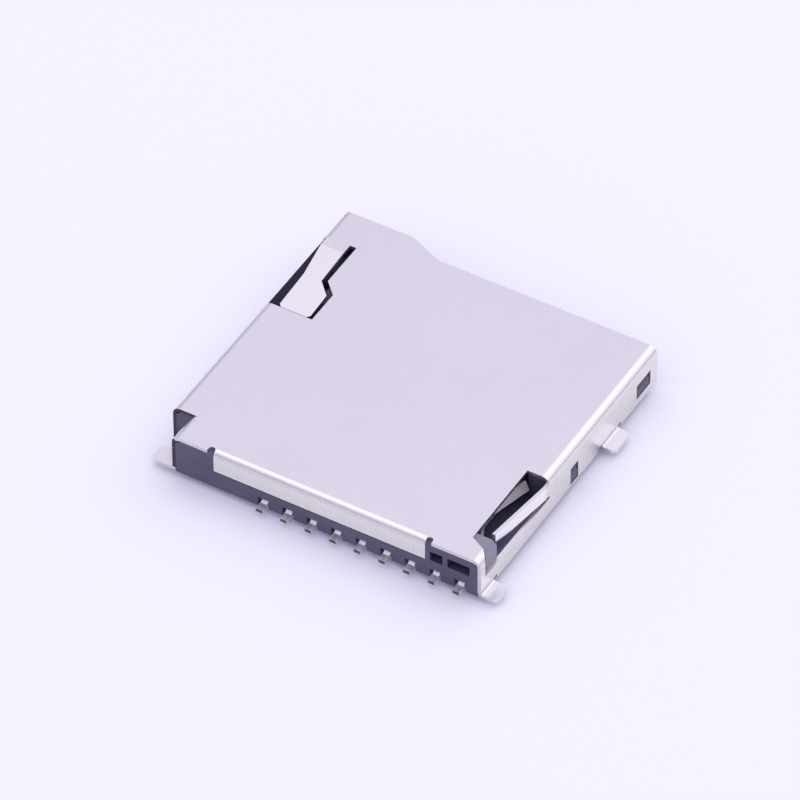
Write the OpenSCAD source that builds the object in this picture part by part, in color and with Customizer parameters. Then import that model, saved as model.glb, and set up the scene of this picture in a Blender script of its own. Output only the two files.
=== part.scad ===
// Micro SD card socket with a push-in, push-out eject slider.
// Millimetres. +X runs along the row of solder tails, +Y points out of the card mouth, +Z up from the board.
// The sub-parts are drawn from the cover's left front corner; placed() moves that corner to the shared frame.

/* [Cover] */
// length from the tail side to the card mouth
cover_length = 14.43; // [14.4:0.01:14.6]
// height of the top plate above the board
cover_height = 1.86; // [1.84:0.01:1.92]
// thickness of the sheet
sheet = 0.15; // [0.13:0.01:0.16]
// outer radius of the bends along both sides
side_bend = 0.35; // [0.28:0.01:0.4]
// gap between the side walls and the board
wall_lift = 0.05; // [0.02:0.01:0.1]
// how far the mouth edge steps back beyond the eject side
mouth_step = 0.65; // [0.4:0.05:0.8]
// where the slanted step of the mouth edge starts
mouth_step_start = 3.2; // [2.9:0.1:3.6]
// length of the slanted step along the mouth edge
mouth_step_run = 1.5; // [1:0.1:2]
// width of the cut-away left front corner
corner_width = 0.81; // [0.75:0.01:0.85]
// depth of the cut-away left front corner
corner_depth = 1.4; // [1.2:0.1:1.5]

/* [Front lip] */
// left end of the lip
lip_left = 2.7; // [2.65:0.05:2.9]
// distance from the lip's right end to the right wall
lip_end = 2.48; // [2.46:0.01:2.6]
// height of the lip from the top plate to its lower edge
lip_drop = 1; // [0.9:0.05:1.05]
// outer radius of the lip's bend
lip_bend = 0.26; // [0.24:0.01:0.34]
// width of the bend relief at each end of the lip
relief_width = 0.28; // [0.2:0.02:0.32]

/* [Solder feet] */
// how far the right front foot stands out from its wall
right_foot_reach = 0.7; // [0.6:0.05:0.85]
// length of the right front foot along its wall
right_foot_length = 0.95; // [0.8:0.05:1]
// how far the left front foot stands out from its wall
left_foot_reach = 1; // [0.8:0.05:1.05]
// length of the left front foot along its wall
left_foot_length = 0.82; // [0.7:0.02:0.9]
// how far the side feet stand out from the side walls
side_foot_reach = 0.6; // [0.5:0.05:0.8]
// front edge of the side feet
side_foot_start = 9.4; // [9.2:0.1:9.6]
// length of the side feet along their walls
side_foot_length = 1.25; // [1:0.05:1.4]
// inner radius of the feet's bends
foot_bend = 0.1; // [0.06:0.02:0.14]
// rounding of the feet's outer corners
foot_corner = 0.25; // [0.1:0.05:0.28]

/* [Pin spring finger] */
// distance from the mouth edge to the finger's root
finger_root = 1.68; // [1.6:0.02:1.75]
// length of the window over the cam pin
pin_window_length = 4.43; // [4.36:0.01:4.5]
// right edge of the window
pin_window_right = 2.15; // [2.1:0.01:2.2]
// lower edge of the window in the left wall
pin_window_low = 1.2; // [1.1:0.02:1.3]
// left edge of the finger
finger_left = 0.44; // [0.42:0.01:0.5]
// left edge of the finger at its root
root_left = 0.22; // [0.2:0.01:0.3]
// right edge of the finger's stem
stem_right = 1.26; // [1.2:0.02:1.3]
// length of the finger's head
head_length = 1.35; // [1.2:0.05:1.4]
// length of the slant between head and stem
neck_length = 0.6; // [0.5:0.05:0.7]
// width of the slot beside the finger
finger_slot = 0.3; // [0.24:0.02:0.34]
// width of the slot in front of the finger
tip_slot = 0.27; // [0.24:0.01:0.3]
// corner cut of the finger's head
head_corner = 0.12; // [0.08:0.01:0.16]
// flat stretch at the finger's root
finger_flat = 0.5; // [0.4:0.05:0.6]

/* [Detect switch] */
// width of the switch window in the top plate
switch_window_width = 0.99; // [0.95:0.01:1.02]
// front edge of the switch window beside the plate
switch_window_front = 1.07; // [1:0.01:1.2]
// front edge of the switch window where the bend starts
switch_window_slant = 0.74; // [0.65:0.01:0.8]
// rear edge of the switch window
switch_window_rear = 5.28; // [5.24:0.02:5.4]
// lower edge of the switch window in the side wall
switch_window_low = 0.86; // [0.82:0.01:0.9]
// width of the corner strip in front of the window
corner_strip = 0.33; // [0.3:0.01:0.4]
// lower edge of the switch finger's tip
switch_tip_low = 1.1; // [1.05:0.01:1.15]
// lower edge of the switch finger at its root
switch_root_low = 1; // [0.95:0.01:1.05]
// upper edge of the switch finger
switch_finger_top = 1.6; // [1.56:0.01:1.62]
// length of the cover's switch finger
switch_finger_length = 3.45; // [3.3:0.05:3.5]
// how far the tip of the switch finger is bent in
switch_finger_set = 0.42; // [0.36:0.01:0.44]
// straight stretch at the root of the switch finger
switch_finger_root = 0.3; // [0.2:0.05:0.4]
// rear face of the post behind the corner strip
switch_post = 1.46; // [1.4:0.01:1.5]
// thickness of the detect leaf
leaf_sheet = 0.12; // [0.1:0.01:0.14]
// lower edge of the detect leaf
leaf_low = 0.98; // [0.94:0.01:1]
// upper edge of the detect leaf
leaf_high = 1.4; // [1.36:0.01:1.45]
// how far the knee of the detect leaf stands into the card's way
knee_reach = 0.38; // [0.3:0.01:0.4]
// distance of the knee from the front
knee_y = 2.9; // [2.8:0.05:3]
// half the length of the knee's flat
knee_flat = 0.4; // [0.3:0.05:0.5]
// lean of the leaf's free end
leaf_lean = 25; // [20:1:28]
// how far the leaf ends in front of the window's rear edge
leaf_back = 0.15; // [0.12:0.01:0.2]

/* [Latches] */
// front edge of the front latch windows
latch_front_y = 6.92; // [6.8:0.02:7.2]
// length of the front latch windows
latch_front_length = 0.6; // [0.5:0.05:0.7]
// lower edge of the front latch windows
latch_front_low = 0.15; // [0.12:0.01:0.3]
// distance from the mouth edge to the front edge of the rear latch windows
latch_rear_back = 2.28; // [2.2:0.02:2.4]
// length of the rear latch windows
latch_rear_length = 1.1; // [0.9:0.05:1.2]
// lower edge of the rear latch windows
latch_rear_low = 0.38; // [0.3:0.02:0.45]
// height of the front latch windows
latch_front_height = 0.86; // [0.7:0.02:0.9]
// height of the rear latch windows
latch_rear_height = 0.72; // [0.6:0.02:0.8]
// how far the latch wedges stand out
latch_reach = 0.12; // [0.08:0.01:0.12]
// gap round the latch wedges
latch_gap = 0.04; // [0.03:0.01:0.06]

/* [Base] */
// thickness of the base plate
base_thickness = 0.45; // [0.42:0.01:0.5]
// height of the eject channel's floor
channel_floor = 0.28; // [0.24:0.01:0.3]
// height of the rails that carry the card
card_level = 0.9; // [0.85:0.01:0.92]
// depth of the front wall behind the lip
front_recess = 0.3; // [0.28:0.01:0.32]
// gap between the lip and the sill below it
lip_gap = 0.04; // [0.02:0.01:0.08]
// position of the card stop
card_stop = 1; // [0.9:0.05:1.05]
// thickness of the wall behind the cut-away corner
corner_wall = 0.15; // [0.12:0.01:0.18]
// thickness of the wall beside the eject channel
channel_wall = 0.25; // [0.23:0.01:0.26]
// how far that wall stays below the cover at the pin window
window_wall_drop = 0.14; // [0.13:0.01:0.16]
// how far the rib in the cut-away bend stays behind the cover's outer face
rib_inset = 0.02; // [0.02:0.01:0.05]
// distance from the mouth edge to the rear edge of the base plate
base_back = 0.93; // [0.85:0.02:1]
// lead-in chamfer at the card mouth
mouth_chamfer = 0.25; // [0.15:0.05:0.35]
// distance from the mouth edge to the back of the eject channel's end post
post_back = 0.23; // [0.18:0.01:0.3]
// how far the end post reaches to the right of the heart cam
post_side = 0.4; // [0.3:0.02:0.42]
// ledge under each edge of the card
card_ledge = 0.45; // [0.4:0.01:0.5]
// how far the ledges stop short of the base plate's rear edge
ledge_back = 0.3; // [0.2:0.02:0.4]
// rear end of the broad ledge beside the contacts
broad_ledge = 8; // [7.6:0.1:8.2]
// width of the low wall under the switch window
sill_wall = 0.25; // [0.2:0.01:0.28]
// gap between that wall and the window's lower edge
sill_gap = 0.05; // [0.03:0.01:0.08]
// diameter of the locating pegs
peg_diameter = 0.9; // [0.7:0.05:1]
// length of the locating pegs below the board's surface
peg_length = 0.3; // [0.25:0.05:0.6]
// lead-in chamfer of the pegs
peg_chamfer = 0.1; // [0.05:0.01:0.12]
// distance of the pegs from the front
peg_y = 7; // [6.4:0.1:7.4]
// distance of each peg from the card's edge
peg_inset = 1; // [0.9:0.05:1.2]
// width of the pocket beside the lip
first_pocket = 0.55; // [0.5:0.01:0.58]
// width of the pocket near the corner
second_pocket = 0.98; // [0.9:0.01:1]
// distance from the lip to the first pocket, and between the pockets
pocket_rib = 0.22; // [0.2:0.01:0.24]
// lower edge of the pockets
pocket_low = 0.9; // [0.86:0.01:0.96]
// material left between the pockets and the cover
pocket_roof = 0.34; // [0.28:0.01:0.38]
// depth of the pockets
pocket_depth = 0.65; // [0.5:0.05:0.65]
// width of the notches round the tails
tail_notch = 0.5; // [0.44:0.02:0.6]
// depth of the notches round the tails
tail_notch_depth = 0.28; // [0.24:0.01:0.29]
// height of the notches round the tails
tail_notch_height = 0.44; // [0.42:0.01:0.6]

/* [Card] */
// width of the card's leading part
card_narrow = 9.7; // [9.65:0.05:9.75]
// full width of the card
card_width = 11; // [10.95:0.05:11.05]
// room between the left wall's outer face and the card
eject_side = 2.63; // [2.6:0.01:2.68]
// room between the card and the right wall's outer face
switch_side = 1.03; // [1.01:0.01:1.08]
// gap between the card and its guides
card_gap = 0.08; // [0.05:0.01:0.1]
// distance from the card's leading edge to its side notch
card_notch = 8.4; // [8.3:0.05:8.5]

/* [Contacts] */
// distance between neighbouring contacts
pitch = 1.1; // [1.08:0.01:1.12]
// thickness of the contact strip
strip = 0.15; // [0.12:0.01:0.16]
// width of the solder tails
tail_width = 0.28; // [0.26:0.01:0.34]
// width of the spring arms at their root
arm_root = 0.56; // [0.5:0.02:0.6]
// width of the spring arms at their tip
arm_tip = 0.36; // [0.3:0.02:0.4]
// how far the tails stand out in front of the cover
tail_reach = 0.32; // [0.28:0.01:0.4]
// length of the tail's flat foot
tail_foot = 0.32; // [0.25:0.01:0.35]
// height of the strip where it is moulded into the base
anchor_height = 0.28; // [0.26:0.01:0.29]
// end of the moulded-in stretch
anchor_end = 1.5; // [1.45:0.05:1.6]
// slope of the spring arms
arm_slope = 22; // [20:1:23]
// height of the free contact crests
crest_height = 1.2; // [1.15:0.01:1.22]
// slope of the turned-down tips
tip_slope = 40; // [30:1:45]
// radius of the tail's two bends
rise_turn = 0.2; // [0.18:0.01:0.22]
// slope of the tail's rise
rise_slope = 45; // [42:1:48]
// radius where the spring arm leaves the base
arm_turn = 0.3; // [0.25:0.01:0.35]
// radius of the contact crest
crest_turn = 0.35; // [0.3:0.01:0.4]
// length of the turned-down tip
tip_length = 0.4; // [0.3:0.02:0.45]
// length over which the spring arm narrows
arm_taper = 3; // [2.9:0.1:3.2]
// length over which the strip widens from the tail to the arm
tail_flare = 0.2; // [0.15:0.01:0.25]
// half the width of the windows under the spring arms
arm_window = 0.36; // [0.33:0.01:0.4]
// length of the windows under the spring arms
arm_window_length = 3.5; // [3.4:0.05:3.6]
// how far the windows start in front of the arms
arm_window_lead = 0.1; // [0.06:0.01:0.12]

/* [Eject slider] */
// travel of the slider from rest to fully pushed in
travel = 2.1; // [1.9:0.05:2.1]
// gap between the slider and its channel
slide_gap = 0.05; // [0.03:0.01:0.06]
// gap under the slider
floor_gap = 0.02; // [0.01:0.01:0.04]
// distance from the mouth edge to the rear end of the slider at rest
slider_back = 2.83; // [2.78:0.01:2.88]
// length of the heart cam's deck
cam_length = 3.2; // [3.15:0.01:3.25]
// right edge of the heart cam's deck
cam_right = 1.9; // [1.86:0.01:1.94]
// height of the deck that carries the heart cam
cam_deck = 1.25; // [1.22:0.01:1.26]
// rear edge of the card pusher at rest
pusher_face = 3.15; // [3.15:0.01:3.2]
// thickness of the pusher's nose
pusher_nose = 0.7; // [0.55:0.05:0.7]
// depth of the step beside the pusher's nose
pusher_step = 0.8; // [0.7:0.02:0.9]
// length of the pusher's straight flank
pusher_flank = 1.4; // [1.2:0.05:1.5]
// length of the slant behind the pusher's flank
pusher_slant = 1; // [0.8:0.05:1.1]
// fillet cut between the pusher's nose and flank
pusher_corner = 0.15; // [0.1:0.01:0.2]
// how far the fork's prongs run in front of the pusher's face
prong_lead = 0.25; // [0.2:0.01:0.28]
// width of the fork's prongs
prong = 0.38; // [0.34:0.01:0.4]
// depth of the push-in lane of the heart cam
lane_depth = 0.3; // [0.28:0.01:0.32]
// drop of each step along the heart cam
lane_step = 0.04; // [0.02:0.01:0.05]
// gap between the cam pin and the lanes
lane_gap = 0.03; // [0.02:0.01:0.04]
// rib between the push-in lane and the return lane
lane_rib = 0.06; // [0.05:0.01:0.07]
// how far the lock point lies behind the end of the push
lock_back = 0.42; // [0.36:0.01:0.46]
// how far the return lane starts behind the lock point
return_lead = 0.37; // [0.34:0.01:0.4]
// where the return lane turns back to the start
return_turn = 0.62; // [0.55:0.01:0.7]

/* [Eject spring] */
// outer diameter of the spring
spring_diameter = 0.88; // [0.8:0.02:0.88]
// diameter of the spring's wire
spring_wire = 0.15; // [0.12:0.01:0.16]
// number of turns
spring_turns = 9; // [7:1:10]
// front end of the spring
spring_front = 0.75; // [0.72:0.01:0.78]
// rear end of the spring with the slider at rest
spring_seat = 5.6; // [5.5:0.05:5.7]
// height of the spring above the channel's floor
spring_lift = 0.12; // [0.1:0.01:0.14]
// gap between the spring and its centring bosses
boss_gap = 0.07; // [0.05:0.01:0.1]
// length of the boss on the base
base_boss = 0.8; // [0.6:0.05:0.9]
// length of the boss on the slider
slider_boss = 0.6; // [0.5:0.05:0.7]

/* [Cam pin] */
// diameter of the pin's wire
pin_wire = 0.18; // [0.16:0.01:0.19]
// distance between the pin's two legs
pin_length = 3.7; // [3.65:0.01:3.72]
// angle the pin swings through in one push
pin_swing = 7; // [6:0.5:7]
// position of the pin across the socket
pin_x = 0.97; // [0.96:0.01:1]
// distance from the mouth edge to the pin's pivot
pivot_back = 1.83; // [1.8:0.01:1.86]
// radius of the pin's bends, to the middle of the wire
pin_bend = 0.2; // [0.16:0.01:0.22]
// gap between the pin's arm and the deck below it
pin_lift = 0.04; // [0.03:0.01:0.05]
// depth of the pivot leg in its hole
pivot_depth = 0.45; // [0.4:0.01:0.5]
// gap below the ends of the pin's legs
leg_gap = 0.02; // [0.02:0.01:0.04]

/* [Card lock] */
// thickness of the lock leaf
lock_sheet = 0.1; // [0.08:0.01:0.12]
// height of the lock leaf
lock_height = 0.5; // [0.4:0.05:0.55]
// how far the leaf's nose stands into the card's notch
lock_reach = 0.3; // [0.2:0.02:0.32]
// how far the leaf is held in the slider in front of the heart cam
lock_hold = 1.5; // [1.3:0.05:1.6]
// length of the hook that holds the leaf
lock_hook = 0.3; // [0.25:0.01:0.35]
// length of the leaf's rise to its nose
lock_rise = 0.75; // [0.65:0.01:0.8]
// length of the leaf's turned-back end
lock_end = 0.55; // [0.45:0.01:0.6]
// half the length of the nose's flat
lock_flat = 0.12; // [0.1:0.01:0.14]
// how far the leaf's end stands off the slider
lock_stand = 0.1; // [0.08:0.01:0.12]
// gap under the leaf
lock_gap = 0.05; // [0.03:0.01:0.06]

/* [Hidden] */
$fn = 48;

// colours
black_plastic = [0.1, 0.1, 0.12];
slider_plastic = [0.13, 0.13, 0.14];
bright_steel = [0.82, 0.81, 0.85];
tail_metal = [0.86, 0.85, 0.84];
spring_steel = [0.6, 0.6, 0.63];

// cover
cover_width = eject_side + card_width + switch_side;
ceiling = cover_height - sheet;
inner_left = sheet;
inner_right = cover_width - sheet;
inner_bend = side_bend - sheet;
mouth_right = cover_length - mouth_step;
lip_right = cover_width - lip_end;
lip_low = cover_height - lip_drop;
pin_window_rear = cover_length - finger_root;
pin_window_front = pin_window_rear - pin_window_length;
finger_tip = pin_window_front + tip_slot;
finger_neck = finger_tip + head_length;
finger_shoulder = finger_neck + neck_length;
finger_straight = pin_window_rear - finger_flat;
switch_window_left = cover_width - switch_window_width;
far = 40;
cut = 1;

// card and contacts
contact_count = 8;
card_left = eject_side;
card_right = card_left + card_width;
guide_right = card_right + card_gap;
guide_left = card_left - card_gap;
row_middle = card_right - card_narrow / 2;
first_contact = row_middle - pitch * (contact_count - 1) / 2;
detect_x = first_contact + pitch * contact_count;
base_rear = cover_length - base_back;

// eject channel
corner_left = corner_width + sheet;
channel_left = inner_left + channel_wall;
channel_right = guide_left - 2 * slide_gap;
slider_left = channel_left + slide_gap;
slider_right = channel_right - slide_gap;
slider_low = channel_floor + floor_gap;
slider_top = ceiling - 2 * slide_gap;
slider_front = pusher_face - prong_lead;
corner_back = corner_depth + corner_wall;
left_prong = corner_back + travel + 2 * slide_gap;
slider_rear = cover_length - slider_back;
cam_front = slider_rear - cam_length;
spring_x = (slider_left + slider_right) / 2;
spring_z = channel_floor + spring_lift + spring_diameter / 2;
boss_diameter = spring_diameter - 2 * spring_wire - 2 * boss_gap;
pusher_low = card_level + slide_gap;
pusher_tip = first_contact - arm_root / 2 - slide_gap;
rail_right = pusher_tip + slide_gap;

// cam pin and heart cam
pin_radius = pin_wire / 2;
pin_level = cam_deck + pin_lift + pin_radius;
pin_pivot_y = cover_length - pivot_back;
pin_tip_y = pin_pivot_y - pin_length;
lane_width = pin_wire + 2 * lane_gap;
cam_start = [pin_x, pin_tip_y];
cam_full = cam_start + [pin_length * sin(pin_swing), travel + pin_length * (1 - cos(pin_swing))];
cam_lock = cam_start + [-lane_gap / 2, travel - lock_back];
cam_second = cam_lock + [-lane_width - lane_rib, return_lead];
cam_return = [cam_second[0], cam_start[1] + return_turn];
post_floor = pin_level - pin_radius;
finger_drop = ceiling - pin_level - pin_radius;
finger_touch = pin_tip_y + pin_bend;

// latch windows on each side: [front edge, length, lower edge, height]
latches = [
    [latch_front_y, latch_front_length, latch_front_low, latch_front_height],
    [cover_length - latch_rear_back, latch_rear_length, latch_rear_low, latch_rear_height]
];

// pockets in the front wall: [distance from the lip, width]
pockets = [
    [pocket_rib, first_pocket],
    [pocket_rib + first_pocket + pocket_rib, second_pocket]
];

// detect leaf
leaf_plane = detect_x + tail_width / 2 - leaf_sheet;
leaf_end = switch_window_rear - leaf_back;
leaf_turn = 1.5 * leaf_sheet;

// moves the cover's left front corner so that the middle of the cover stands over the origin
module placed() {
    translate([-cover_width / 2, -cover_length / 2, 0]) children();
}

// extrudes a profile drawn in X and Z along Y, from y
module along_y(y, length) {
    translate([0, y + length, 0]) rotate([90, 0, 0]) linear_extrude(height = length) children();
}

// extrudes a profile drawn in Y and Z along X, from x
module along_x(x, length) {
    translate([x, 0, 0]) rotate([90, 0, 90]) linear_extrude(height = length) children();
}

// extrudes a plan drawn in X and Y upwards, from z
module plan(z, height) {
    translate([0, 0, z]) linear_extrude(height = height) children();
}

// box between two corners
module block(low, high) {
    translate(low) cube(high - low);
}

// sector of a strip's bend: starts at the origin along +X and turns left by angle about a centre-line radius
module strip_bend(radius, angle, thick) {
    outer = 4 * (radius + thick);
    translate([0, radius]) intersection() {
        difference() {
            circle(r = radius + thick / 2);
            circle(r = radius - thick / 2);
        }
        polygon([
            [0, 0],
            [0, -outer],
            [outer * sin(angle / 2), -outer * cos(angle / 2)],
            [outer * sin(angle), -outer * cos(angle)]
        ]);
    }
}

// folded strip of a given width: each step is [length] for a straight run, or [radius, angle] for a left turn
module folded_strip(steps, thick, width, index = 0) {
    if (index < len(steps)) {
        step = steps[index];
        straight = len(step) == 1;
        turn = straight ? 0 : step[1];
        side = turn < 0 ? -1 : 1;
        ahead = straight ? step[0] : step[0] * sin(abs(turn));
        aside = straight ? 0 : side * step[0] * (1 - cos(turn));
        linear_extrude(height = width) {
            if (straight) {
                translate([0, -thick / 2]) square([step[0], thick]);
            } else {
                mirror([0, (1 - side) / 2]) strip_bend(step[0], abs(turn), thick);
            }
        }
        translate([ahead, aside, 0]) rotate([0, 0, turn]) folded_strip(steps, thick, width, index + 1);
    }
}

// upright arch with rounded shoulders, drawn in X and Z
module arch(left, right, low, top, radius) {
    translate([left, low]) square([right - left, top - low - radius]);
    translate([left + radius, low]) square([right - left - 2 * radius, top - low]);
    for (x = [left + radius, right - radius]) {
        translate([x, top - radius]) circle(r = radius);
    }
}

// rectangle whose two corners at the far X end are rounded
module tongue(length, width, radius) {
    square([length - radius, width]);
    translate([0, radius]) square([length, width - 2 * radius]);
    for (y = [radius, width - radius]) {
        translate([length - radius, y]) circle(r = radius);
    }
}

// cover: one folded sheet with windows, spring fingers, front lip and solder feet

// foot bent outward from the bottom of a wall whose outer face is at X = 0
module solder_foot(y, length, reach) {
    intersection() {
        along_y(y, length) {
            translate([foot_bend, 0]) square([reach - foot_bend, sheet]);
            translate([foot_bend, sheet + foot_bend]) rotate(-90) intersection() {
                difference() {
                    circle(r = foot_bend + sheet);
                    circle(r = foot_bend);
                }
                translate([0, -far]) square(far);
            }
        }
        plan(-cut, cover_height) translate([-sheet, y]) tongue(reach + sheet, length, foot_corner);
    }
}

// gap left in a wall for a foot and its two bend reliefs
module foot_gap(x, y, length) {
    block(
        [x - cut, y - relief_width, -cut],
        [x + sheet + cut, y + length + relief_width, sheet + foot_bend]
    );
}

module cover_sheet() {
    difference() {
        along_y(0, cover_length) difference() {
            arch(0, cover_width, wall_lift, cover_height, side_bend);
            arch(inner_left, inner_right, -cut, ceiling, inner_bend);
        }
        // stepped mouth edge
        plan(-cut, far) polygon([
            [mouth_step_start, cover_length],
            [mouth_step_start + mouth_step_run, mouth_right],
            [far, mouth_right],
            [far, far],
            [mouth_step_start, far]
        ]);
        // left front corner and the bend along its edge
        block([-cut, -cut, -cut], [corner_width + side_bend, corner_depth, far]);
        // room for the lip's bend and its two reliefs
        block([lip_left, -cut, 0], [lip_right, lip_bend, far]);
        for (x = [lip_left - relief_width, lip_right]) {
            block([x, -cut, 0], [x + relief_width, lip_bend - relief_width / 2, far]);
            translate([x + relief_width / 2, lip_bend - relief_width / 2, 0])
                cylinder(h = far, r = relief_width / 2);
        }
        // window round the pin spring finger, open across the left bend
        plan(pin_window_low, far) polygon([
            [-cut, pin_window_front],
            [pin_window_right, pin_window_front],
            [pin_window_right, finger_neck],
            [stem_right + finger_slot, finger_shoulder],
            [stem_right + finger_slot, pin_window_rear],
            [-cut, pin_window_rear]
        ]);
        // switch window, in the top plate and down the right wall
        plan(switch_window_low, far) polygon([
            [switch_window_left, switch_window_front],
            [cover_width - side_bend, switch_window_slant],
            [cover_width, corner_strip],
            [far, corner_strip],
            [far, switch_window_rear],
            [switch_window_left, switch_window_rear]
        ]);
        // latch windows
        for (latch = latches) {
            block(
                [-cut, latch[0], latch[2]],
                [far, latch[0] + latch[1], latch[2] + latch[3]]
            );
        }
        // gaps for the feet
        for (x = [0, inner_right]) {
            foot_gap(x, side_foot_start, side_foot_length);
        }
        foot_gap(inner_right, 0, right_foot_length);
    }
}

module front_lip() {
    along_x(lip_left, lip_right - lip_left) {
        translate([0, lip_low]) square([sheet, lip_drop - lip_bend]);
        translate([lip_bend, cover_height - lip_bend]) intersection() {
            difference() {
                circle(r = lip_bend);
                circle(r = lip_bend - sheet);
            }
            translate([-far, 0]) square(far);
        }
    }
}

// folded edge of the cut-away corner: foot, wall and top bend in one strip
module corner_foot() {
    low_turn = foot_bend + sheet / 2;
    top_turn = side_bend - sheet / 2;
    intersection() {
        translate([corner_width - left_foot_reach, corner_depth, sheet / 2]) rotate([90, 0, 0])
            folded_strip([
                [left_foot_reach + sheet / 2 - low_turn],
                [low_turn, 90],
                [cover_height - sheet - low_turn - top_turn],
                [top_turn, -90]
            ], sheet, corner_depth);
        plan(-cut, far) {
            translate([far, 0]) mirror([1, 0])
                tongue(far - corner_width + left_foot_reach, left_foot_length, foot_corner);
            translate([corner_width, left_foot_length - foot_corner])
                square([far, corner_depth - left_foot_length + foot_corner]);
        }
    }
}

// finger that presses the cam pin into the heart cam
module pin_finger() {
    head_right = pin_window_right - finger_slot;
    tip_drop = finger_drop * (finger_straight - finger_tip) / (finger_straight - finger_touch);
    intersection() {
        along_x(0, cover_width) polygon([
            [pin_window_rear, ceiling],
            [pin_window_rear, cover_height],
            [finger_straight, cover_height],
            [finger_tip, cover_height - tip_drop],
            [finger_tip, ceiling - tip_drop],
            [finger_straight, ceiling]
        ]);
        plan(0, far) {
            polygon([
                [root_left, pin_window_rear],
                [root_left, finger_straight],
                [finger_left, finger_shoulder],
                [finger_left, finger_tip + head_corner],
                [finger_left + head_corner, finger_tip],
                [head_right - head_corner, finger_tip],
                [head_right, finger_tip + head_corner],
                [head_right, finger_neck],
                [stem_right, finger_shoulder],
                [stem_right, pin_window_rear]
            ]);
        }
    }
}

// side finger that the detect leaf closes against
module switch_finger() {
    tip = switch_window_rear - switch_finger_length;
    root = switch_window_rear - switch_finger_root;
    intersection() {
        plan(switch_window_low, switch_finger_top - switch_window_low) polygon([
            [inner_right, switch_window_rear],
            [cover_width, switch_window_rear],
            [cover_width, root],
            [cover_width - switch_finger_set, tip],
            [inner_right - switch_finger_set, tip],
            [inner_right, root]
        ]);
        along_x(0, far) polygon([
            [switch_window_rear, switch_root_low],
            [switch_window_rear, switch_finger_top],
            [tip, switch_finger_top],
            [tip, switch_tip_low]
        ]);
    }
}

module cover() {
    color(bright_steel) placed() {
        cover_sheet();
        front_lip();
        corner_foot();
        pin_finger();
        switch_finger();
        translate([cover_width, 0, 0]) {
            solder_foot(0, right_foot_length, right_foot_reach);
            solder_foot(side_foot_start, side_foot_length, side_foot_reach);
        }
        mirror([1, 0, 0]) solder_foot(side_foot_start, side_foot_length, side_foot_reach);
    }
}

// contacts: tail, moulded-in stretch and spring arm folded from one strip

// strip of one contact from the tail's tip towards the card mouth
module contact_strip(x, width, steps) {
    ramp = (anchor_height - 2 * rise_turn * (1 - cos(rise_slope))) / sin(rise_slope);
    tail_run = tail_foot + 2 * rise_turn * sin(rise_slope) + ramp * cos(rise_slope);
    translate([x - width / 2, -tail_reach, strip / 2]) rotate([90, 0, 90]) folded_strip(concat([
        [tail_foot],
        [rise_turn, rise_slope],
        [ramp],
        [rise_turn, -rise_slope],
        [anchor_end - tail_run + tail_reach]
    ], steps), strip, width);
}

module contact_shape(x) {
    arm_rise = crest_height - strip - anchor_height;
    arm = (arm_rise - (arm_turn + crest_turn) * (1 - cos(arm_slope))) / sin(arm_slope);
    half_tail = tail_width / 2;
    half_root = arm_root / 2;
    half_tip = arm_tip / 2;
    intersection() {
        contact_strip(x, arm_root, [
            [arm_turn, arm_slope],
            [arm],
            [crest_turn, -arm_slope - tip_slope],
            [tip_length]
        ]);
        plan(-cut, far) translate([x, 0]) polygon([
            [-half_tail, -far],
            [half_tail, -far],
            [half_tail, card_stop - tail_flare],
            [half_root, card_stop],
            [half_root, anchor_end],
            [half_tip, anchor_end + arm_taper],
            [-half_tip, anchor_end + arm_taper],
            [-half_root, anchor_end],
            [-half_root, card_stop],
            [-half_tail, card_stop - tail_flare]
        ]);
    }
}

module contact(number) {
    color(tail_metal) placed() contact_shape(first_contact + pitch * (number - 1));
}

module contact_1() {
    contact(1);
}

module contact_2() {
    contact(2);
}

module contact_3() {
    contact(3);
}

module contact_4() {
    contact(4);
}

module contact_5() {
    contact(5);
}

module contact_6() {
    contact(6);
}

module contact_7() {
    contact(7);
}

module contact_8() {
    contact(8);
}

// detect contact: tail, upright plate beside it and leaf with a knee in the card's way
module detect_shape() {
    knee_x = card_right - knee_reach;
    leg = [leaf_plane - knee_x, leaf_end - knee_y - knee_flat];
    plate_front = card_stop + slide_gap;
    contact_strip(detect_x, tail_width, []);
    translate([detect_x - tail_width / 2, anchor_end, anchor_height + leaf_sheet / 2]) rotate([90, 0, 0])
        folded_strip([
            [tail_width - leaf_sheet / 2 - leaf_turn],
            [leaf_turn, 90],
            [leaf_high - anchor_height - leaf_sheet / 2 - leaf_turn]
        ], leaf_sheet, anchor_end - plate_front);
    // leg from the plate to the knee
    plan(leaf_low, leaf_high - leaf_low) polygon([
        [leaf_plane, plate_front],
        [leaf_plane + leaf_sheet, plate_front],
        [leaf_plane + leaf_sheet, anchor_end],
        [knee_x + leaf_sheet, knee_y - knee_flat],
        [knee_x + leaf_sheet, knee_y + knee_flat],
        [knee_x, knee_y + knee_flat],
        [knee_x, knee_y - knee_flat],
        [leaf_plane, anchor_end]
    ]);
    // leg from the knee to the free end, leaning about its own length
    translate([knee_x, knee_y + knee_flat, leaf_low]) rotate([0, 0, atan2(leg[1], leg[0])])
        rotate([-leaf_lean, 0, 0]) translate([-leaf_sheet, -leaf_sheet, 0])
            cube([norm(leg) + leaf_sheet, leaf_sheet, leaf_high - leaf_low]);
}

module detect_contact() {
    color(tail_metal) placed() detect_shape();
}

// housing: moulded base with contact windows, card rails, eject channel and latch wedges

module latch_wedge(latch) {
    low = latch[2] + latch_gap;
    high = latch[2] + latch[3] - latch_gap;
    along_y(latch[0] + latch_gap, latch[1] - 2 * latch_gap) polygon([
        [-sheet, low],
        [latch_reach, low],
        [latch_reach, (low + high) / 2],
        [0, high],
        [-sheet, high]
    ]);
}

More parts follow.
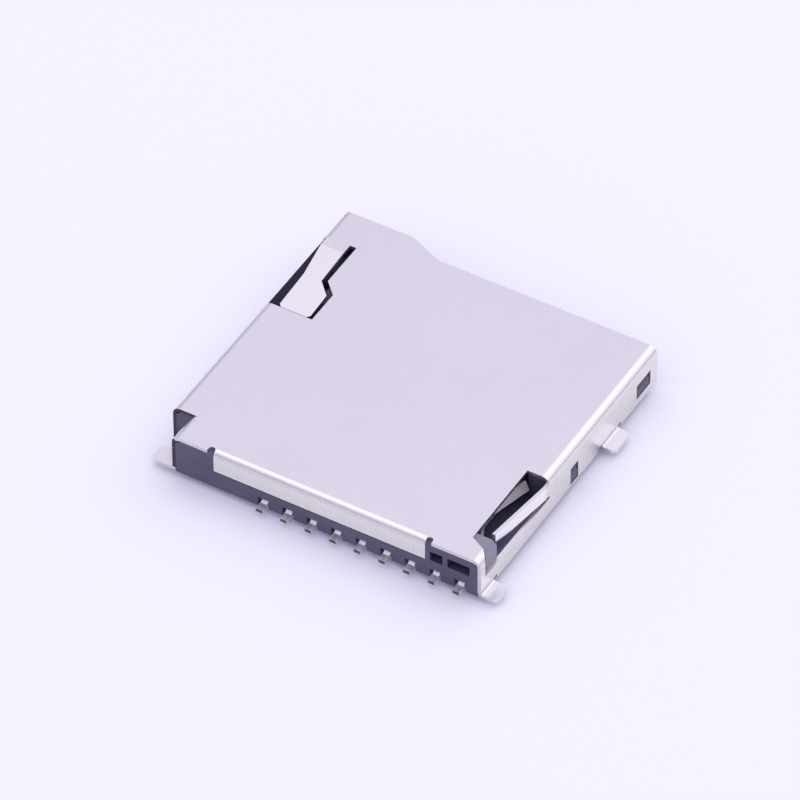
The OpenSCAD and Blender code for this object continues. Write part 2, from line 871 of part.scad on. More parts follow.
module housing_body() {
    // base plate with a lead-in at the mouth
    along_x(inner_left, inner_right - inner_left) polygon([
        [front_recess, 0],
        [base_rear, 0],
        [base_rear, base_thickness - mouth_chamfer],
        [base_rear - mouth_chamfer, base_thickness],
        [front_recess, base_thickness]
    ]);
    // front wall that stops the card, with a sill under the lip and its full height at both ends
    block([rail_right, front_recess, 0], [inner_right, card_stop, ceiling]);
    block([corner_left, 0, 0], [inner_right, front_recess, lip_low - lip_gap]);
    block([corner_left, 0, 0], [lip_left, front_recess, ceiling]);
    block([lip_right, 0, 0], [inner_right, front_recess, ceiling]);
    // wall that the eject spring stands against
    block([corner_left, 0, 0], [channel_right - 2 * slide_gap, spring_front, ceiling]);
    // ledges that carry the card's two edges
    block([channel_right, front_recess, 0], [rail_right, broad_ledge, card_level]);
    block([channel_right, broad_ledge, 0], [guide_left + card_ledge, base_rear - ledge_back, card_level]);
    block(
        [card_right - card_ledge, switch_window_rear, 0],
        [inner_right, base_rear - ledge_back, card_level]
    );
    // right guide wall
    block([guide_right, switch_window_rear, 0], [inner_right, base_rear, ceiling]);
    // low wall under the switch window and the post behind the corner strip
    block(
        [inner_right - sill_wall, card_stop, 0],
        [inner_right, switch_window_rear, switch_window_low - sill_gap]
    );
    block([switch_window_left, front_recess, 0], [inner_right, switch_post, ceiling]);
    // wall behind the cut-away corner
    block([inner_left, corner_depth, 0], [corner_left, corner_back, ceiling]);
    // wall beside the eject channel
    block([inner_left, corner_depth, 0], [channel_left, pin_window_front, ceiling]);
    block([inner_left, pin_window_front, 0], [channel_left, pin_window_rear, ceiling - window_wall_drop]);
    // rib of that wall in the cover's cut-away bend
    block(
        [rib_inset, pin_window_front + latch_gap, pin_window_low + latch_gap],
        [channel_left, pin_window_rear - latch_gap, ceiling - window_wall_drop]
    );
    // post that carries the cam pin's pivot and stops the slider
    block([inner_left, slider_rear, 0], [cam_right, pin_window_rear + finger_slot, post_floor]);
    block(
        [inner_left, pin_window_rear + finger_slot, 0],
        [cam_right + post_side, cover_length - post_back, ceiling]
    );
    // pegs that locate the socket in the board
    for (x = [card_left + peg_inset, card_right - peg_inset]) {
        translate([x, peg_y, -peg_length]) {
            cylinder(h = peg_chamfer, d1 = peg_diameter - 2 * peg_chamfer, d2 = peg_diameter);
            translate([0, 0, peg_chamfer])
                cylinder(h = peg_length - peg_chamfer + base_thickness / 2, d = peg_diameter);
        }
    }
    // centring boss for the eject spring
    translate([spring_x, spring_front, spring_z]) rotate([-90, 0, 0])
        cylinder(h = base_boss, d = boss_diameter);
}

// room under a bend of the cover whose outer face is at x, opening to the left
module shoulder_cut(x) {
    translate([x, 0, 0]) along_y(-cut, far) polygon([
        [sheet - cut, ceiling - inner_bend - cut],
        [sheet + inner_bend + cut, ceiling + cut],
        [sheet - cut, ceiling + cut]
    ]);
}

module housing_cuts() {
    // cut-away corner
    block([-cut, -cut, -cut], [corner_left, corner_depth, far]);
    // eject channel
    plan(channel_floor, base_thickness + slide_gap - channel_floor) polygon([
        [corner_left, spring_front],
        [channel_right, spring_front],
        [channel_right, slider_rear],
        [channel_left, slider_rear],
        [channel_left, corner_back],
        [corner_left, corner_back]
    ]);
    // windows under the spring arms
    for (number = [0 : contact_count - 1]) {
        x = first_contact + pitch * number;
        y = anchor_end - arm_window_lead;
        block([x - arm_window, y, -cut], [x + arm_window, y + arm_window_length, far]);
    }
    // notches round the tails
    for (number = [0 : contact_count]) {
        x = first_contact + pitch * number;
        block([x - tail_notch / 2, -cut, -cut], [x + tail_notch / 2, tail_notch_depth, tail_notch_height]);
    }
    // pockets in the right end of the front wall
    for (pocket = pockets) {
        x = lip_right + pocket[0];
        block([x, -cut, pocket_low], [x + pocket[1], pocket_depth, ceiling - pocket_roof]);
    }
    // hole for the cam pin's pivot leg
    translate([pin_x, pin_pivot_y, post_floor - pivot_depth - leg_gap])
        cylinder(h = far, r = pin_radius + lane_gap);
    // rounded-off shoulders under the cover's bends
    difference() {
        shoulder_cut(0);
        block([-cut, pin_window_front, 0], [far, pin_window_rear, far]);
    }
    translate([cover_width, 0, 0]) mirror([1, 0, 0]) shoulder_cut(0);
    intersection() {
        shoulder_cut(corner_width);
        block([-cut, -cut, 0], [far, corner_depth, far]);
    }
    block([lip_left, -cut, ceiling - lip_bend + sheet], [lip_right, lip_bend, far]);
    // moulded-in metal
    for (number = [0 : contact_count - 1]) {
        contact_shape(first_contact + pitch * number);
    }
    detect_shape();
}

module housing() {
    color(black_plastic) placed() {
        difference() {
            housing_body();
            housing_cuts();
        }
        for (latch = latches) {
            translate([inner_right, 0, 0]) latch_wedge(latch);
            translate([inner_left, 0, 0]) mirror([1, 0, 0]) latch_wedge(latch);
        }
    }
}

// eject slider: fork round the spring, card pusher and heart cam

// one lane of the heart cam, from point to point
module lane(from, to, depth) {
    run = to - from;
    plan(cam_deck - depth, far) {
        translate(from) rotate(atan2(run[1], run[0])) {
            translate([0, -lane_width / 2]) square([norm(run), lane_width]);
            circle(d = lane_width);
            translate([norm(run), 0]) circle(d = lane_width);
        }
    }
}

module heart_cam() {
    lane(cam_start, cam_full, lane_depth);
    lane(cam_full, cam_lock, lane_depth + lane_step);
    lane(cam_lock, cam_second, lane_depth + 2 * lane_step);
    lane(cam_second, cam_return, lane_depth + 3 * lane_step);
    lane(cam_return, cam_start, lane_depth + 3 * lane_step);
}

module slider() {
    flank = pusher_tip - pusher_step;
    color(slider_plastic) placed() difference() {
        union() {
            // prongs of the fork
            block([slider_left, left_prong, slider_low], [slider_left + prong, spring_seat, slider_top]);
            block([slider_right - prong, slider_front, slider_low], [slider_right, spring_seat, slider_top]);
            // head that the spring presses on
            block([slider_left, spring_seat, slider_low], [slider_right, cam_front, slider_top]);
            // deck of the heart cam
            block([slider_left, cam_front - slide_gap, slider_low], [cam_right, slider_rear, cam_deck]);
            // pusher with a nose in front of the card's corner
            plan(pusher_low, slider_top - pusher_low) polygon([
                [slider_right - slide_gap, pusher_face - pusher_nose],
                [pusher_tip, pusher_face - pusher_nose],
                [pusher_tip, pusher_face],
                [flank + pusher_corner, pusher_face],
                [flank, pusher_face + pusher_corner],
                [flank, pusher_face + pusher_flank],
                [slider_right - slide_gap, pusher_face + pusher_flank + pusher_slant]
            ]);
            // centring boss for the spring
            translate([spring_x, spring_seat, spring_z]) rotate([90, 0, 0])
                cylinder(h = slider_boss, d = boss_diameter);
        }
        heart_cam();
        lock_shape();
    }
}

// card lock: leaf spring held in the slider's inner face, with a nose for the card's side notch
module lock_shape() {
    nose_y = pusher_face + card_notch;
    x = slider_right - lock_sheet;
    nose_x = card_left + lock_reach;
    hold = cam_front - lock_hold;
    plan(pusher_low + lock_gap, lock_height) {
        polygon([
            [x, hold],
            [slider_right, hold],
            [slider_right, nose_y - lock_rise],
            [nose_x, nose_y - lock_flat],
            [nose_x, nose_y + lock_flat],
            [slider_right + lock_stand, nose_y + lock_end],
            [x + lock_stand, nose_y + lock_end],
            [nose_x - lock_sheet, nose_y + lock_flat / 2],
            [nose_x - lock_sheet, nose_y - lock_flat / 2],
            [x, nose_y - lock_rise + lock_gap]
        ]);
    }
    plan(pusher_low + lock_gap, lock_height) polygon([
        [x - lock_hook, hold],
        [slider_right, hold],
        [slider_right, hold + lock_sheet],
        [x - lock_hook, hold + lock_sheet]
    ]);
}

module card_lock() {
    color(bright_steel) placed() lock_shape();
}

// eject spring: helix between the housing's front wall and the slider, with closed end turns

module eject_spring() {
    steps = spring_turns * 18;
    sides = 6;
    wire = spring_wire / 2;
    coil = spring_diameter / 2 - wire;
    low = spring_front + wire;
    high = spring_seat - wire;
    closed = 1 / spring_turns;
    dead = spring_wire;
    function along(t) = t < closed ? dead * t / closed
        : t > 1 - closed ? high - low - dead * (1 - t) / closed
        : dead + (high - low - 2 * dead) * (t - closed) / (1 - 2 * closed);
    points = [
        for (i = [0 : steps])
            let (t = i / steps, turn = 360 * spring_turns * t)
            for (j = [0 : sides - 1])
                let (a = 360 * j / sides, r = coil + wire * cos(a))
                [spring_x + r * cos(turn), low + along(t) + wire * sin(a), spring_z + r * sin(turn)]
    ];
    faces = concat(
        [[for (j = [0 : sides - 1]) j]],
        [
            for (i = [0 : steps - 1])
                for (j = [0 : sides - 1])
                    let (k = (j + 1) % sides)
                    [i * sides + j, (i + 1) * sides + j, (i + 1) * sides + k, i * sides + k]
        ],
        [[for (j = [sides - 1 : -1 : 0]) steps * sides + j]]
    );
    color(spring_steel) placed() polyhedron(points = points, faces = faces);
}

// cam pin: wire with both ends bent down, one in the housing's hole and one in the heart cam

module cam_pin() {
    tip_depth = lane_depth - leg_gap;
    arm = pin_length - 2 * pin_bend;
    color(spring_steel) placed() translate([pin_x, pin_tip_y, pin_level]) {
        translate([0, pin_bend, 0]) rotate([-90, 0, 0]) cylinder(h = arm, r = pin_radius);
        for (end = [0, 1]) {
            leg = end == 0 ? pin_level - cam_deck + tip_depth : pin_radius + pivot_depth;
            translate([0, end * pin_length, 0]) mirror([0, end, 0]) {
                translate([0, pin_bend, -pin_bend]) rotate([90, 0, 90])
                    rotate_extrude(angle = 90, start = 90) translate([pin_bend, 0]) circle(r = pin_radius);
                translate([0, 0, -leg]) cylinder(h = leg - pin_bend, r = pin_radius);
            }
        }
    }
}

housing();
cover();
contact_1();
contact_2();
contact_3();
contact_4();
contact_5();
contact_6();
contact_7();
contact_8();
detect_contact();
slider();
eject_spring();
cam_pin();
card_lock();
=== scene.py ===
"""Looks of a low, surface-mount card socket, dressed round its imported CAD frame."""

import logging
import math
from dataclasses import dataclass, field
from enum import Enum
from typing import Callable, Optional, Sequence

import bmesh
import bpy
from mathutils import Matrix, Vector


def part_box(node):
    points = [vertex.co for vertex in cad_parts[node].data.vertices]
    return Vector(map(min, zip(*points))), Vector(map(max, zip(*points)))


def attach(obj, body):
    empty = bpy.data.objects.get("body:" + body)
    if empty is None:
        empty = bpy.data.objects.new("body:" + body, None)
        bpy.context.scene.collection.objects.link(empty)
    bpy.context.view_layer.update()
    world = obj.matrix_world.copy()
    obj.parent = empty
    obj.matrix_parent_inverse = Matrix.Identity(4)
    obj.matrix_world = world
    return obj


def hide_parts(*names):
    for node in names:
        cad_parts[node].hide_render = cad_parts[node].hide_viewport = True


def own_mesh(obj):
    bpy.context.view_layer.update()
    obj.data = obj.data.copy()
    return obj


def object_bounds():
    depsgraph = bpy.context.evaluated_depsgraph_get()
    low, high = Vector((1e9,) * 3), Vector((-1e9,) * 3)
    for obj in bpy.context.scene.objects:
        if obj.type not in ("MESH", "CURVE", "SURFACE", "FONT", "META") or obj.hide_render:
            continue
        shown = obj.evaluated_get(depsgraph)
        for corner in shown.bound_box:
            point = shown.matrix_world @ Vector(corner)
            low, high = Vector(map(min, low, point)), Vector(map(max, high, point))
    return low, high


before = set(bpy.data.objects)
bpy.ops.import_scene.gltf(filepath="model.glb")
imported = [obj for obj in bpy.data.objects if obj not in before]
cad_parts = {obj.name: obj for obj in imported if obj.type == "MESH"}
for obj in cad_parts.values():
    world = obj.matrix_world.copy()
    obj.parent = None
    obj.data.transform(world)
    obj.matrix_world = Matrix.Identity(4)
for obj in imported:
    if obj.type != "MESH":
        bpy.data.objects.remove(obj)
CAD_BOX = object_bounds()

MM = 0.001
LOG = logging.getLogger("socket")

# The busy middle of a noise, which holds most of its values.
NOISE_LOW = 0.3
NOISE_HIGH = 0.7

Colour = tuple[float, float, float]
Stops = Sequence[tuple[float, Colour]]


class Body(Enum):
    """Moving bodies of the socket, as the frame names them."""

    SOCKET = "socket"
    SLIDER = "slider"
    CAM_PIN = "cam_pin"


class Grain(Enum):
    """Stretch of a surface's marks along X, Y and Z."""

    EVEN = (1.0, 1.0, 1.0)
    ALONG_Y = (1.0, 0.06, 1.0)
    FLOW = (1.0, 0.5, 1.0)


class CoverFace(Enum):
    """Kinds of faces on the cover, in the order of its materials."""

    PLATE = 0
    CUT_EDGE = 1
    # Cut edges at the cut-away corner, darkened as painted shade.
    CORNER_SHADE_EDGE = 2
    FINGER = 3


class StripFace(Enum):
    """Kinds of faces on a contact strip, in the order of its materials."""

    PLATED = 0
    CUT_END = 1


@dataclass(frozen=True)
class SurfaceMarks:
    """Fine marks that vary a finish's gloss and give it relief."""

    size_mm: float
    depth_mm: float
    strength: float
    roughness_low: float
    roughness_high: float
    grain: Grain = Grain.EVEN
    layers: float = 3.0


def shaded(colour: Colour, factor: float) -> Colour:
    """Makes a colour darker or lighter by a factor."""
    return tuple(min(1.0, value * factor) for value in colour)


def fill_ramp(ramp: bpy.types.Node, stops: Stops) -> None:
    """Sets the stops of a colour ramp.

    Args:
        ramp: Colour ramp node.
        stops: Position and colour of each stop, two or more.
    """
    elements = ramp.color_ramp.elements
    for position, _ in stops[len(elements) :]:
        elements.new(position)
    for element, (position, colour) in zip(elements, stops):
        element.position = position
        element.color = (*colour, 1.0)


def toward(azimuth_deg: float, elevation_deg: float) -> Vector:
    """Gives the direction of a viewer or a lamp as seen from the socket.

    Args:
        azimuth_deg: Angle round the socket, 0 in front of its tails.
        elevation_deg: Angle above the board.

    Returns:
        The direction, of length 1.
    """
    around, above = math.radians(azimuth_deg), math.radians(elevation_deg)
    level = Vector((math.sin(around), -math.cos(around), 0.0))
    return level * math.cos(above) + Vector((0.0, 0.0, math.sin(above)))


class NodeSheet:
    """One node material under construction."""

    def __init__(self, name: str) -> None:
        """Starts an empty material.

        Args:
            name: Name of the finish.
        """
        self.material = bpy.data.materials.new(name)
        self.material.use_nodes = True
        self.tree = self.material.node_tree
        self.tree.nodes.clear()

    def add(self, kind: str, **settings: object) -> bpy.types.Node:
        """Adds a node and sets its properties.

        Args:
            kind: Type of the node.
            settings: Properties by name.

        Returns:
            The new node.
        """
        node = self.tree.nodes.new(kind)
        for key, value in settings.items():
            setattr(node, key, value)
        return node

    def join(self, source: bpy.types.NodeSocket, target: bpy.types.NodeSocket) -> None:
        """Links an output to an input."""
        self.tree.links.new(source, target)

    def place(self, grain: Grain = Grain.EVEN) -> bpy.types.NodeSocket:
        """Gives stretched object coordinates, in metres.

        Args:
            grain: Stretch along X, Y and Z.

        Returns:
            The coordinate output.
        """
        source = self.add("ShaderNodeTexCoord")
        mapping = self.add("ShaderNodeMapping")
        mapping.inputs["Scale"].default_value = grain.value
        self.join(source.outputs["Object"], mapping.inputs["Vector"])
        return mapping.outputs["Vector"]

    def axes(self) -> bpy.types.Node:
        """Adds a node that gives object coordinates axis by axis.

        Returns:
            The node, with the outputs X, Y and Z.
        """
        node = self.add("ShaderNodeSeparateXYZ")
        self.join(self.place(), node.inputs["Vector"])
        return node

    def noise(
        self, size_mm: float, grain: Grain = Grain.EVEN, layers: float = 2.0
    ) -> bpy.types.NodeSocket:
        """Gives a noise whose spots are about a given size.

        Args:
            size_mm: Size of the spots.
            grain: Stretch of the spots.
            layers: Number of finer layers.

        Returns:
            The noise factor, from 0 to 1.
        """
        node = self.add("ShaderNodeTexNoise")
        node.inputs["Scale"].default_value = 1.0 / (size_mm * MM)
        node.inputs["Detail"].default_value = layers
        self.join(self.place(grain), node.inputs["Vector"])
        return node.outputs["Fac"]

    def step(
        self, value: bpy.types.NodeSocket, start_mm: float, end_mm: float
    ) -> bpy.types.NodeSocket:
        """Gives a step from 0 to 1 between two places on an axis.

        Args:
            value: Coordinate along the axis.
            start_mm: Place where the step starts.
            end_mm: Place where the step ends.

        Returns:
            The step, from 0 to 1.
        """
        node = self.add("ShaderNodeMapRange")
        node.inputs["From Min"].default_value = start_mm * MM
        node.inputs["From Max"].default_value = end_mm * MM
        self.join(value, node.inputs["Value"])
        return node.outputs["Result"]

    def spread(
        self, factor: bpy.types.NodeSocket, low: float, high: float
    ) -> bpy.types.NodeSocket:
        """Maps the busy middle of a noise to a range.

        Args:
            factor: Noise factor.
            low: Value for dark spots.
            high: Value for bright spots.

        Returns:
            The mapped value.
        """
        node = self.add("ShaderNodeMapRange")
        node.inputs["From Min"].default_value = NOISE_LOW
        node.inputs["From Max"].default_value = NOISE_HIGH
        node.inputs["To Min"].default_value = low
        node.inputs["To Max"].default_value = high
        self.join(factor, node.inputs["Value"])
        return node.outputs["Result"]

    def ramp(self, factor: bpy.types.NodeSocket, stops: Stops) -> bpy.types.NodeSocket:
        """Maps a factor to a run of colours.

        Args:
            factor: Factor from 0 to 1.
            stops: Position and colour of each stop, two or more.

        Returns:
            The colour output.
        """
        node = self.add("ShaderNodeValToRGB")
        fill_ramp(node, stops)
        self.join(factor, node.inputs["Fac"])
        return node.outputs["Color"]

    def tones(
        self, factor: bpy.types.NodeSocket, colour: Colour, dark: float, bright: float
    ) -> bpy.types.NodeSocket:
        """Varies a colour with a noise.

        Args:
            factor: Noise factor.
            colour: Colour to vary.
            dark: Factor of the colour in dark spots.
            bright: Factor of the colour in bright spots.

        Returns:
            The colour output.
        """
        low, high = shaded(colour, dark), shaded(colour, bright)
        return self.ramp(factor, [(NOISE_LOW, low), (NOISE_HIGH, high)])

    def bump(
        self, height: bpy.types.NodeSocket, depth_mm: float, strength: float
    ) -> bpy.types.NodeSocket:
        """Turns a height into a surface normal.

        Args:
            height: Height factor.
            depth_mm: Depth of the relief.
            strength: Strength of the relief.

        Returns:
            The normal output.
        """
        node = self.add("ShaderNodeBump")
        node.inputs["Strength"].default_value = strength
        node.inputs["Distance"].default_value = depth_mm * MM
        self.join(height, node.inputs["Height"])
        return node.outputs["Normal"]

    def inside(
        self, low_mm: Sequence[float], high_mm: Sequence[float], blend_mm: float
    ) -> bpy.types.NodeSocket:
        """Gives a mask that is 1 inside a box of object coordinates.

        Args:
            low_mm: Low corner of the box.
            high_mm: High corner of the box.
            blend_mm: Width of the blend at the box's faces.

        Returns:
            The mask, from 0 to 1.
        """
        axes = self.axes()
        steps = []
        for axis, low, high in zip("XYZ", low_mm, high_mm):
            steps.append(self.step(axes.outputs[axis], low - blend_mm, low))
            steps.append(self.step(axes.outputs[axis], high + blend_mm, high))
        mask = steps[0]
        for step in steps[1:]:
            both = self.add("ShaderNodeMath", operation="MULTIPLY")
            self.join(mask, both.inputs[0])
            self.join(step, both.inputs[1])
            mask = both.outputs["Value"]
        return mask

    def blend(
        self, factor: bpy.types.NodeSocket, first: bpy.types.NodeSocket, second: Colour
    ) -> bpy.types.NodeSocket:
        """Blends a colour over another one.

        Args:
            factor: Share of the second colour.
            first: Colour below.
            second: Colour above.

        Returns:
            The blended colour.
        """
        node = self.add("ShaderNodeMix", data_type="RGBA")
        self.join(factor, node.inputs["Factor"])
        below, above = (socket for socket in node.inputs if socket.type == "RGBA")
        self.join(first, below)
        above.default_value = (*second, 1.0)
        return next(socket for socket in node.outputs if socket.type == "RGBA")

    def between(
        self, factor: bpy.types.NodeSocket, first: float, second: float
    ) -> bpy.types.NodeSocket:
        """Gives a value between two others.

        Args:
            factor: Share of the second value, from 0 to 1.
            first: Value at 0.
            second: Value at 1.

        Returns:
            The value between them.
        """
        node = self.add("ShaderNodeMapRange")
        node.inputs["To Min"].default_value = first
        node.inputs["To Max"].default_value = second
        self.join(factor, node.inputs["Value"])
        return node.outputs["Result"]

    def surface(self, metallic: float = 0.0, specular: float = 0.5) -> bpy.types.Node:
        """Adds the shader and the output.

        Args:
            metallic: 1 for bare metal.
            specular: Reflection of a plastic surface.

        Returns:
            The shader node.
        """
        shader = self.add("ShaderNodeBsdfPrincipled")
        shader.inputs["Metallic"].default_value = metallic
        shader.inputs["Specular IOR Level"].default_value = specular
        output = self.add("ShaderNodeOutputMaterial")
        self.join(shader.outputs["BSDF"], output.inputs["Surface"])
        return shader

    def mark(
        self, shader: bpy.types.Node, marks: SurfaceMarks, roughness: float
    ) -> bpy.types.NodeSocket:
        """Lets fine marks vary a shader's gloss and give it relief.

        Args:
            shader: The shader node.
            marks: Size and depth of the marks.
            roughness: Roughness of the plain surface.

        Returns:
            The marks' noise factor.
        """
        factor = self.noise(marks.size_mm, marks.grain, marks.layers)
        low, high = roughness * marks.roughness_low, roughness * marks.roughness_high
        self.join(self.spread(factor, low, high), shader.inputs["Roughness"])
        self.join(self.bump(factor, marks.depth_mm, marks.strength), shader.inputs["Normal"])
        return factor


ROLLING = SurfaceMarks(0.08, 0.00005, 0.5, 0.94, 1.06, Grain.ALONG_Y, layers=4.0)
FINE_ROLLING = SurfaceMarks(0.06, 0.00005, 0.5, 0.94, 1.06, Grain.ALONG_Y, layers=4.0)
TEARING = SurfaceMarks(0.05, 0.0012, 0.5, 1.2, 0.8, layers=5.0)
MOULD_SKIN = SurfaceMarks(0.05, 0.004, 0.4, 0.85, 1.2)
SMOOTH_SKIN = SurfaceMarks(0.05, 0.002, 0.4, 0.85, 1.2)
STAMPING = SurfaceMarks(0.07, 0.0015, 0.4, 0.8, 1.3, Grain.ALONG_Y)
DIE_LINES = SurfaceMarks(0.04, 0.001, 0.4, 0.8, 1.25, Grain.ALONG_Y, layers=4.0)


@dataclass(frozen=True)
class SheetSteel:
    """Plated sheet, satin with a fine rolling grain and faint clouds."""

    name: str
    colour: Colour
    roughness: float
    marks: SurfaceMarks = ROLLING
    cloud_mm: float = 3.5
    mottle: float = 0.012

    def material(self) -> bpy.types.Material:
        """Builds the material.

        Returns:
            The finished material.
        """
        sheet = NodeSheet(self.name)
        shader = sheet.surface(metallic=1.0)
        cloud = sheet.noise(self.cloud_mm)
        colour = sheet.tones(cloud, self.colour, 1.0 - self.mottle, 1.0 + self.mottle)
        sheet.join(colour, shader.inputs["Base Color"])
        sheet.mark(shader, self.marks, self.roughness)
        return sheet.material


@dataclass(frozen=True)
class ShearedEdge:
    """Cut edge of a sheet, with bright sheared spots and dull torn spots."""

    name: str
    bright: Colour
    dull: Colour
    roughness: float
    dull_end: float = 0.35
    bright_start: float = 0.65

    def material(self) -> bpy.types.Material:
        """Builds the material.

        Returns:
            The finished material.
        """
        sheet = NodeSheet(self.name)
        shader = sheet.surface(metallic=1.0)
        tear = sheet.mark(shader, TEARING, self.roughness)
        stops = [(self.dull_end, self.dull), (self.bright_start, self.bright)]
        sheet.join(sheet.ramp(tear, stops), shader.inputs["Base Color"])
        return sheet.material


@dataclass(frozen=True)
class PaintedLightZone:
    """Box of a moulding painted paler, darker or duller than the rest, as light or shade."""

    low_mm: tuple[float, float, float]
    high_mm: tuple[float, float, float]
    colour: Colour
    blend_mm: float = 0.02
    specular: Optional[float] = None


@dataclass(frozen=True)
class MouldedPlastic:
    """Moulded plastic with a fine spark-eroded skin and faint flow clouds."""

    name: str
    colour: Colour
    roughness: float
    specular: float = 0.5
    marks: SurfaceMarks = MOULD_SKIN
    sheen: Colour = (1.0, 1.0, 1.0)
    zones: tuple[PaintedLightZone, ...] = ()
    flow_mm: float = 1.4
    flow_layers: float = 3.0
    flow_dark: float = 0.8
    flow_bright: float = 1.25

    def material(self) -> bpy.types.Material:
        """Builds the material.

        Returns:
            The finished material.
        """
        sheet = NodeSheet(self.name)
        shader = sheet.surface(specular=self.specular)
        shader.inputs["Specular Tint"].default_value = (*self.sheen, 1.0)
        flow = sheet.noise(self.flow_mm, Grain.FLOW, self.flow_layers)
        colour = sheet.tones(flow, self.colour, self.flow_dark, self.flow_bright)
        for zone in self.zones:
            share = sheet.inside(zone.low_mm, zone.high_mm, zone.blend_mm)
            colour = sheet.blend(share, colour, zone.colour)
            if zone.specular is not None:
                level = sheet.between(share, self.specular, zone.specular)
                sheet.join(level, shader.inputs["Specular IOR Level"])
        sheet.join(colour, shader.inputs["Base Color"])
        sheet.mark(shader, self.marks, self.roughness)
        return sheet.material


@dataclass(frozen=True)
class PlatedStrip:
    """Stamped contact strip: tin on the solder end, a richer plating where the card touches."""

    name: str
    tin: Colour
    rich: Colour
    roughness: float
    change_y_mm: float
    change_run_mm: float = 0.25

    def material(self) -> bpy.types.Material:
        """Builds the material.

        Returns:
            The finished material.
        """
        sheet = NodeSheet(self.name)
        shader = sheet.surface(metallic=1.0)
        half = self.change_run_mm / 2.0
        along = sheet.axes().outputs["Y"]
        change = sheet.step(along, self.change_y_mm - half, self.change_y_mm + half)
        colour = sheet.ramp(change, [(0.0, self.tin), (1.0, self.rich)])
        sheet.join(colour, shader.inputs["Base Color"])
        sheet.mark(shader, STAMPING, self.roughness)
        return sheet.material


@dataclass(frozen=True)
class DrawnWire:
    """Drawn spring wire with fine die lines."""

    name: str
    colour: Colour
    roughness: float
    line_dark: float = 0.82
    line_bright: float = 1.1

    def material(self) -> bpy.types.Material:
        """Builds the material.

        Returns:
            The finished material.
        """
        sheet = NodeSheet(self.name)
        shader = sheet.surface(metallic=1.0)
        lines = sheet.mark(shader, DIE_LINES, self.roughness)
        colour = sheet.tones(lines, self.colour, self.line_dark, self.line_bright)
        sheet.join(colour, shader.inputs["Base Color"])
        return sheet.material


@dataclass(frozen=True)
class StageFloor:
    """Pale floor with the socket's shadow, toned apart for the picture and for reflections."""

    name: str
    colour: Colour
    seen: Colour
    mirrored: Colour
    glow: Colour
    roughness: float = 0.9
    cloud_mm: float = 60.0
    cloud_dark: float = 0.995

    def material(self) -> bpy.types.Material:
        """Builds the material.

        Returns:
            The finished material.
        """
        sheet = NodeSheet(self.name)
        shader = sheet.surface(specular=0.0)
        shader.inputs["Roughness"].default_value = self.roughness
        ray = sheet.add("ShaderNodeLightPath")
        tone = sheet.tones(sheet.noise(self.cloud_mm), self.colour, self.cloud_dark, 1.0)
        tone = sheet.blend(ray.outputs["Is Glossy Ray"], tone, self.mirrored)
        tone = sheet.blend(ray.outputs["Is Camera Ray"], tone, self.seen)
        sheet.join(tone, shader.inputs["Base Color"])
        either = sheet.add("ShaderNodeMath", operation="MAXIMUM")
        sheet.join(ray.outputs["Is Camera Ray"], either.inputs[0])
        sheet.join(ray.outputs["Is Glossy Ray"], either.inputs[1])
        shader.inputs["Emission Color"].default_value = (*self.glow, 1.0)
        sheet.join(either.outputs["Value"], shader.inputs["Emission Strength"])
        return sheet.material


PLATE = SheetSteel("cover_plate", (0.80, 0.785, 0.79), 0.27)
EDGE = ShearedEdge("cover_cut_edge", (0.76, 0.74, 0.765), (0.62, 0.605, 0.635), 0.4)
# Near-black cut edges at the cut-away corner: painted shade on the same steel as the other cut edges.
CORNER_SHADE_EDGE = ShearedEdge("cover_corner_painted_shade", (0.08, 0.076, 0.10), (0.045, 0.043, 0.06), 0.5)
# Paler, glossier copy of the plate steel on the switch finger: the paler colour is a painted
# highlight.
FINGER_PAINTED_LIGHT = SheetSteel("cover_finger_painted_light", (0.97, 0.95, 0.96), 0.14)
# Paler grey round the switch post on the black housing: painted light, where the post stands lit.
SWITCH_POST_LIGHT = PaintedLightZone((6.2, -6.55, 0.62), (7.4, -5.7, 1.8), (0.25, 0.24, 0.285))
# Near-black, duller top of the rib at the pin window: painted shade, as the rib lies under the cover's
# edge.
PIN_RIB_SHADE = PaintedLightZone((-7.4, 1.0, 1.0), (-6.4, 5.7, 2.0), (0.012, 0.011, 0.02), specular=0.2)
# Housing: the plastic's own black, lifted and tinted blue, with a bluish specular tint. The blue is
# painted reflection of the violet floor.
BLACK = MouldedPlastic(
    "housing_black",
    (0.061, 0.060, 0.112),
    0.42,
    specular=0.8,
    sheen=(0.84, 0.82, 1.0),
    zones=(SWITCH_POST_LIGHT, PIN_RIB_SHADE),
)
SLIDER_BLACK = MouldedPlastic("slider_black", (0.06, 0.057, 0.085), 0.3, marks=SMOOTH_SKIN)
TIN = (0.93, 0.91, 0.93)
CONTACT = PlatedStrip("contact_plating", TIN, (0.83, 0.62, 0.30), 0.5, change_y_mm=-4.6)
# Near-black cut ends of the tails: painted shade at the tails' lower ends.
TAIL_END_SHADE = ShearedEdge("tail_end_painted_shade", (0.16, 0.15, 0.17), (0.09, 0.085, 0.10), 0.5)
DETECT = PlatedStrip("detect_plating", TIN, (0.84, 0.82, 0.80), 0.5, change_y_mm=-6.2)
WIRE = DrawnWire("spring_wire", (0.42, 0.42, 0.45), 0.28)
LEAF = SheetSteel("lock_leaf", (0.62, 0.61, 0.63), 0.25, marks=FINE_ROLLING)
FLOOR = StageFloor(
    "stage_floor",
    (0.93, 0.925, 0.90),
    seen=(0.845, 0.856, 0.81),
    mirrored=(0.845, 0.856, 0.746),
    glow=(0.065, 0.06, 0.15),
)


@dataclass(frozen=True)
class SoftEdge:
    """Small round along the sharp edges of a piece."""

    width_mm: float
    segments: int = 2
    sharper_than_deg: float = 40.0

    def build(self, piece: bpy.types.Object) -> None:
        """Softens a piece's edges.

        Args:
            piece: The piece's object.
        """
        bevel = piece.modifiers.new("soft_edges", "BEVEL")
        bevel.width = self.width_mm * MM
        bevel.segments = self.segments
        bevel.limit_method = "ANGLE"
        bevel.angle_limit = math.radians(self.sharper_than_deg)
        bevel.use_clamp_overlap = True
        bevel.harden_normals = False
        bevel.miter_outer = "MITER_ARC"


